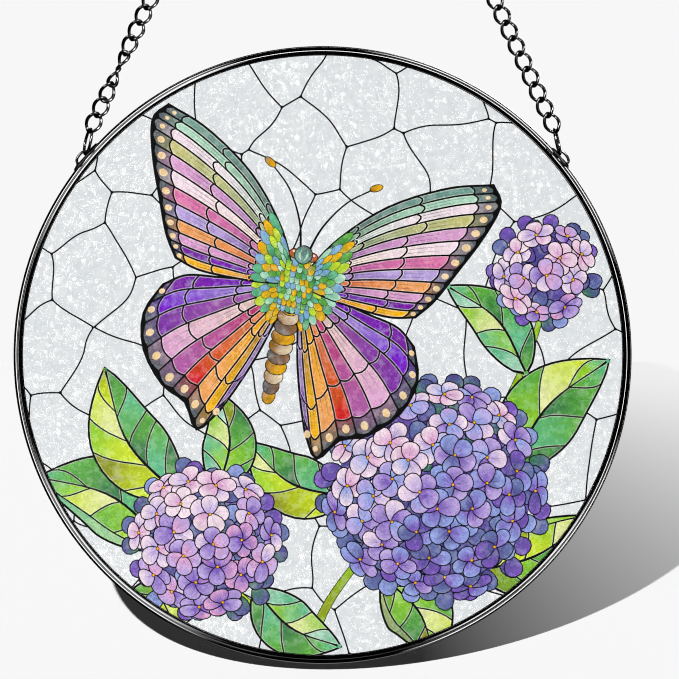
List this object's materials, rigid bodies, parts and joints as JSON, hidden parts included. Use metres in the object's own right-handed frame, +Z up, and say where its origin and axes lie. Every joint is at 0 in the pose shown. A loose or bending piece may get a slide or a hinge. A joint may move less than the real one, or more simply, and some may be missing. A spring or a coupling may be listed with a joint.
{
  "type": "stained glass suncatcher",
  "caption": "Round glass pane with a coloured picture in a black metal rim, hung from wire eyes on a curb chain with a ring at the top.",
  "frame": {"origin": "inside of the top ring at its highest point, where a hook bears", "axes": "+Z up, the pane lies in XZ and its front faces -Y, +X to the right seen from the front"},
  "size_m": [0.2, 0.0092, 0.3423],
  "materials": {
    "glass": "clear glass with printed colours, lightly hammered",
    "black_metal": "gloss black plating"
  },
  "bodies": {
    "root": {"glass_panel": "glass", "rim": "black_metal", "hanging_eye_left": "black_metal", "hanging_eye_right": "black_metal", "jump_ring_left": "black_metal", "jump_ring_right": "black_metal", "chain_left": "black_metal", "chain_right": "black_metal", "top_ring": "black_metal"}
  },
  "joints": []
}
